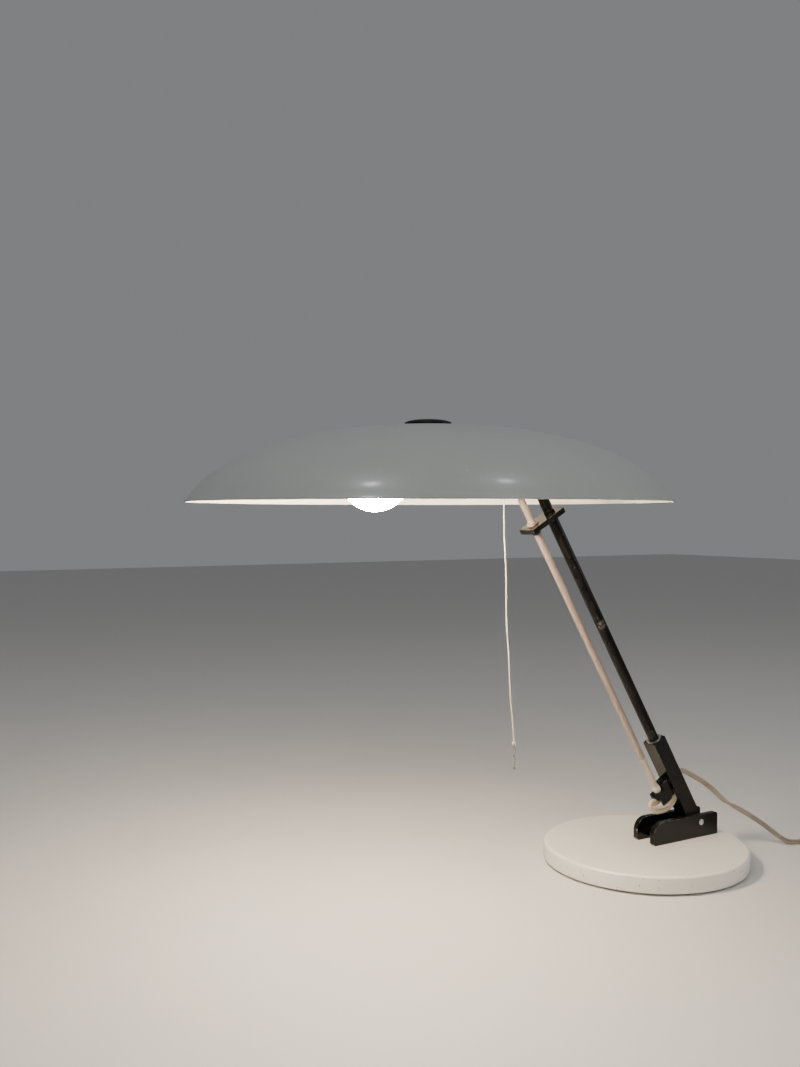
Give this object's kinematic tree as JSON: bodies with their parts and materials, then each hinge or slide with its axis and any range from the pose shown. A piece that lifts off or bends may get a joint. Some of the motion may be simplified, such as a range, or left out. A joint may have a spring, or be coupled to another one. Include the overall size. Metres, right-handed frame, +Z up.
{
  "type": "desk lamp",
  "caption": "Desk lamp: round weighted base, leaning friction arm with a flex tube beside it, wide shallow tilting shade, pull cord and mains lead.",
  "frame": {"origin": "centre of the base's underside, on the table", "axes": "+Z up, +X from the shade back over the arm's pivot, the arm and shade tilt in the XZ plane"},
  "size_m": [0.7087, 0.4168, 0.428],
  "materials": {
    "base_rubber": "matte",
    "cream_lacquer": "gloss",
    "black_lacquer": "gloss",
    "shade_aluminium": "satin",
    "black_plastic": "gloss",
    "cream_plastic": "satin",
    "cord_cotton": "matte",
    "flex_cover": "satin",
    "fibre": "matte",
    "porcelain": "gloss",
    "bulb_glass": "gloss",
    "brass": "satin",
    "steel": "satin"
  },
  "bodies": {
    "base": {"base_pad": "base_rubber", "base_disc": "cream_lacquer", "bracket": "black_lacquer", "bracket_screw_1": "steel", "bracket_screw_2": "steel", "pivot_pin": "steel", "pivot_washer_near": "fibre", "pivot_washer_far": "fibre", "lead_run": "flex_cover", "lead_coil": "flex_cover", "lead_tail": "flex_cover", "plug_body": "cream_plastic", "plug_pin_1": "steel", "plug_pin_2": "steel"},
    "arm": {"arm_block": "black_lacquer", "arm_collar": "steel", "arm_grub_screw": "steel", "arm_tube": "black_lacquer", "guide_plate": "black_lacquer", "plate_grub_screw": "steel", "flex_conduit": "cream_plastic", "conduit_bush": "black_plastic", "conduit_flange": "cream_plastic", "upper_ferrule": "cream_plastic", "flex_lug": "black_lacquer", "lug_clamp_screw": "steel", "lug_end_screw": "steel", "lower_sleeve": "flex_cover", "lower_ferrule": "cord_cotton", "flex_loop": "flex_cover", "head_knuckle": "black_lacquer", "knuckle_grub_screw": "steel"},
    "shade_head": {"carrier": "steel", "tilt_bolt": "steel", "tilt_washer": "steel", "tilt_knob": "black_plastic", "shade": "shade_aluminium", "centre_stud": "steel", "stud_nut": "steel", "stud_spacer": "steel", "crown_washer": "steel", "top_cap": "black_plastic", "holder_bracket": "steel", "holder_bracket_screw": "steel", "holder_nipple": "steel", "nipple_nut": "steel", "holder_shell": "black_plastic", "holder_insulator": "porcelain", "centre_contact": "brass", "screw_shell": "brass", "bulb_cap": "steel", "bulb_tip": "brass", "bulb_glass": "bulb_glass", "pull_switch": "black_plastic", "switch_nut": "steel", "switch_lead": "flex_cover", "upper_flex": "flex_cover"},
    "pull": {"pull_eyelet": "brass", "pull_cord": "cord_cotton", "pull_knot": "cord_cotton"}
  },
  "joints": [
    {"name": "arm_tilt", "type": "hinge", "parent": "base", "child": "arm", "pos_m": [0.063, 0, 0.033], "axis": [0, -1, 0], "range_deg": [-25, 20], "deforming": ["lead_run"]},
    {"name": "shade_tilt", "type": "hinge", "parent": "arm", "child": "shade_head", "pos_m": [-0.1374, 0, 0.37455], "axis": [0, -1, 0], "range_deg": [-25, 25], "deforming": ["upper_flex"]},
    {"name": "pull_switch", "type": "slide", "parent": "shade_head", "child": "pull", "axis": [0, 0, -1], "range_m": [0, 0.008], "stiffness_N_per_m": 600}
  ]
}
